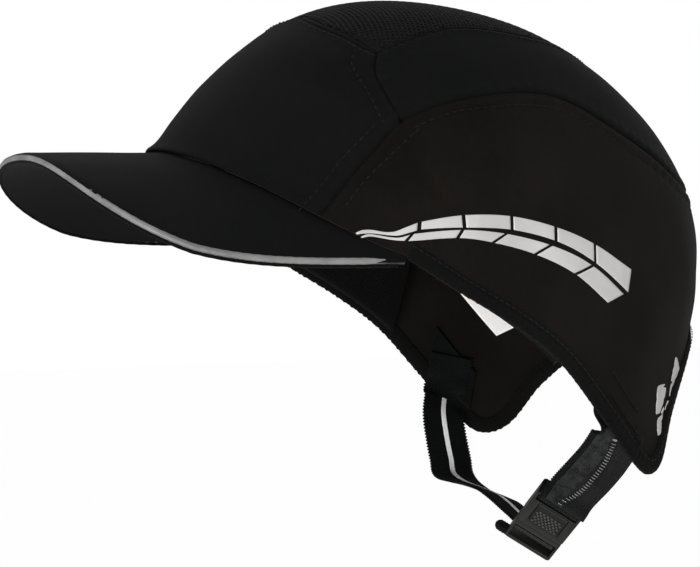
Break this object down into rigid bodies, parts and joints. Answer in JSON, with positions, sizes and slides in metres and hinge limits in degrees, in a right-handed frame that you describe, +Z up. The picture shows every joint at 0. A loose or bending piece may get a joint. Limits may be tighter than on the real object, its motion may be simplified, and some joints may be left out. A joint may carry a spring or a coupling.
{
  "type": "bump cap",
  "caption": "Brimmed fabric safety cap with a mesh top, an inner impact shell with foam pads, reflective trim and a chin strap with a release buckle.",
  "frame": {"origin": "centre of the head opening, level with the middle of the brim seam", "axes": "+X towards the wearer's left, -Y forwards to the brim, +Z up; the cap is raised 16 degrees at the front, as worn in the picture"},
  "size_m": [0.175, 0.2617, 0.2109],
  "materials": {
    "crown_cloth": "plain woven, matte black",
    "side_cloth": "plain woven, matte brownish black",
    "mesh": "open fine mesh, black",
    "binding": "puckered folded tape, black",
    "elastic": "woven elastic",
    "brim_cloth": "plain woven, matte black",
    "board": "smooth stiffener board",
    "piping": "silver reflective cord cover",
    "shell": "moulded, fine grain",
    "foam": "closed-cell foam",
    "sweatband": "soft terry",
    "label": "plain satin, blank",
    "silver": "reflective silver transfer",
    "webbing": "woven elastic webbing with serrated edges",
    "thread": "dense bar tack",
    "white_thread": "white stitched thread",
    "buckle": "moulded, satin",
    "button": "moulded, knurled",
    "spring": "bright leaf"
  },
  "bodies": {
    "cap": {"front_panel": "crown_cloth", "side_panel_left": "side_cloth", "side_panel_right": "side_cloth", "upper_panel_left": "crown_cloth", "upper_panel_right": "crown_cloth", "top_mesh": "mesh", "rim_binding_left": "binding", "rim_binding_right": "binding", "arch_binding": "binding", "nape_elastic": "elastic", "brim_top_cover": "brim_cloth", "brim_under_cover": "brim_cloth", "brim_board": "board", "brim_piping": "piping", "impact_shell": "shell", "front_pad": "foam", "crown_pad": "foam", "side_pad_left": "foam", "side_pad_right": "foam", "rear_pad": "foam", "sweatband": "sweatband", "inner_label": "label", "silver_band_left": "silver", "silver_band_right": "silver", "silver_band_rear": "silver", "anchor_tab_left": "webbing", "anchor_tab_right": "webbing", "bar_tacks": "thread"},
    "strap": {"webbing_left": "webbing", "stitch_line_left": "white_thread", "webbing_right": "webbing", "stripe_right": "white_thread", "buckle_socket": "buckle", "button_spring": "spring"},
    "button": {"release_button": "button"},
    "tongue": {"buckle_tongue": "buckle", "tail_loop": "webbing"}
  },
  "joints": [
    {"name": "strap_swing", "type": "hinge", "parent": "cap", "child": "strap", "pos_m": [0, 0.0444, -0.06786], "axis": [1, 0, 0], "range_deg": [-75, 40], "deforming": ["webbing_left", "stitch_line_left", "webbing_right", "stripe_right"]},
    {"name": "release_press", "type": "slide", "parent": "strap", "child": "button", "axis": [-0.4279, 0.6347, 0.6435], "range_m": [0, 0.0012], "stiffness_N_per_m": 1500, "deforming": ["button_spring"]},
    {"name": "tongue_pull", "type": "slide", "parent": "strap", "child": "tongue", "axis": [-0.8289, 0.0083, -0.5594], "range_m": [0, 0.014], "deforming": ["webbing_right", "stripe_right"]}
  ]
}
